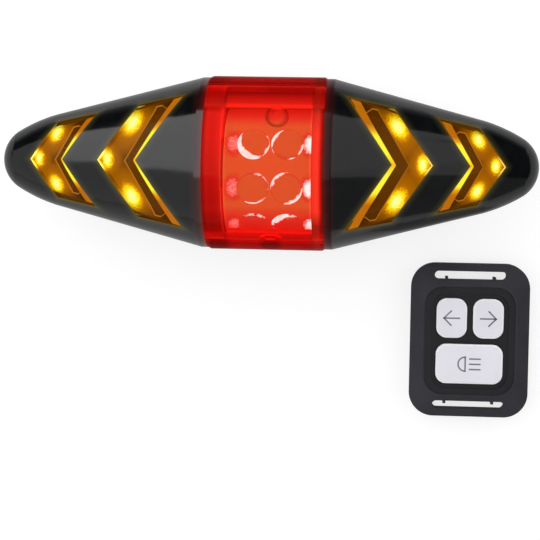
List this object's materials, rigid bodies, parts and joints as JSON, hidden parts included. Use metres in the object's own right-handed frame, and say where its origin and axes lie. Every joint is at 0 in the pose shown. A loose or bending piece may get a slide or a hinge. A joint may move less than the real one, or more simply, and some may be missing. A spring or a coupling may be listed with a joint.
{
  "type": "bicycle turn signal light",
  "caption": "Spindle-shaped bicycle tail lamp with amber arrow windows on both wings, a red centre lens and a seatpost cradle, with a small push-button handlebar remote.",
  "frame": {"origin": "centre of the footprint of the set, on the surface that lamp and remote lie on", "axes": "+X along the lamp to the right as seen from the front, +Y up on the bicycle, +Z the way the light shines, away from the surface"},
  "size_m": [0.15, 0.0956, 0.0471],
  "materials": {
    "black_gloss": "moulded black ABS, high gloss",
    "black_satin": "moulded black ABS, fine spark texture",
    "seal_rubber": "soft silicone, matt",
    "screw_steel": "zinc plated steel",
    "red_clear": "clear red polycarbonate, polished",
    "red_panel": "red tinted reflector plastic, polished",
    "red_bead": "clear moulded optics, polished",
    "led_red": "moulded light chip, lit",
    "amber_clear": "clear amber polycarbonate, polished",
    "light_box": "amber tinted plastic, satin",
    "diffuser": "amber diffusing plastic, satin",
    "led_amber": "moulded light chip, lit",
    "circuit_board": "solder resist on glass fibre",
    "strip_board": "white flexible circuit",
    "cell_wrap": "shrink wrap on a steel can",
    "contact_metal": "nickel plated spring strip",
    "socket_metal": "plated steel shell",
    "switch_plastic": "moulded switch body",
    "black_rubber": "moulded rubber, matt",
    "remote_plastic": "charcoal ABS, fine spark texture",
    "key_plastic": "light grey silicone keys, satin",
    "coin_steel": "brushed stainless steel can"
  },
  "bodies": {
    "lamp": {"rear_housing": "black_satin", "front_housing": "black_gloss", "housing_seal": "seal_rubber", "housing_screws": "screw_steel", "red_lens": "red_clear", "red_panel": "red_panel", "red_beads": "red_bead", "red_leds": "led_red", "red_led_strip": "strip_board", "amber_lens_left_inner": "amber_clear", "amber_lens_left_outer": "amber_clear", "amber_lens_right_inner": "amber_clear", "amber_lens_right_outer": "amber_clear", "light_box_left_inner": "light_box", "light_box_left_outer": "light_box", "light_box_right_inner": "light_box", "light_box_right_outer": "light_box", "diffuser_left_inner": "diffuser", "diffuser_left_outer": "diffuser", "diffuser_right_inner": "diffuser", "diffuser_right_outer": "diffuser", "amber_leds_left": "led_amber", "amber_leds_right": "led_amber", "signal_board_left": "circuit_board", "signal_board_right": "circuit_board", "battery_cell": "cell_wrap", "battery_clips": "contact_metal", "main_board": "circuit_board", "usb_socket": "socket_metal", "switch_board": "circuit_board", "power_switch": "switch_plastic", "cradle": "black_satin", "cradle_pad": "black_rubber", "cradle_screws": "screw_steel"},
    "remote": {"remote_front": "remote_plastic", "remote_back": "remote_plastic", "keypad_seal": "seal_rubber", "remote_board": "circuit_board", "remote_switches": "contact_metal", "coin_cell": "coin_steel", "coin_clip": "contact_metal", "remote_screws": "screw_steel"},
    "power_button": {"power_button": "black_rubber"},
    "port_cover": {"port_cover": "black_rubber"},
    "left_button": {"left_button": "key_plastic"},
    "right_button": {"right_button": "key_plastic"},
    "light_button": {"light_button": "key_plastic"},
    "battery_door": {"battery_door": "remote_plastic"}
  },
  "joints": [
    {"name": "remote_lift", "type": "slide", "parent": "lamp", "child": "remote", "axis": [0, 0, 1], "range_m": [0, 0.05]},
    {"name": "left_button_press", "type": "slide", "parent": "remote", "child": "left_button", "axis": [0, 0, -1], "range_m": [0, 0.0006], "stiffness_N_per_m": 400},
    {"name": "right_button_press", "type": "slide", "parent": "remote", "child": "right_button", "axis": [0, 0, -1], "range_m": [0, 0.0006], "stiffness_N_per_m": 400},
    {"name": "light_button_press", "type": "slide", "parent": "remote", "child": "light_button", "axis": [0, 0, -1], "range_m": [0, 0.0006], "stiffness_N_per_m": 400},
    {"name": "battery_door_twist", "type": "hinge", "parent": "remote", "child": "battery_door", "pos_m": [0.0574, -0.02583, 0], "axis": [0, 0, 1], "range_deg": [0, 90]},
    {"name": "power_button_press", "type": "slide", "parent": "lamp", "child": "power_button", "axis": [0, 0, 1], "range_m": [0, 0.0006], "stiffness_N_per_m": 400},
    {"name": "port_cover_swing", "type": "hinge", "parent": "lamp", "child": "port_cover", "pos_m": [0.0396, 0.02368, 0.0129], "axis": [0, -1, 0], "range_deg": [0, 90]}
  ]
}
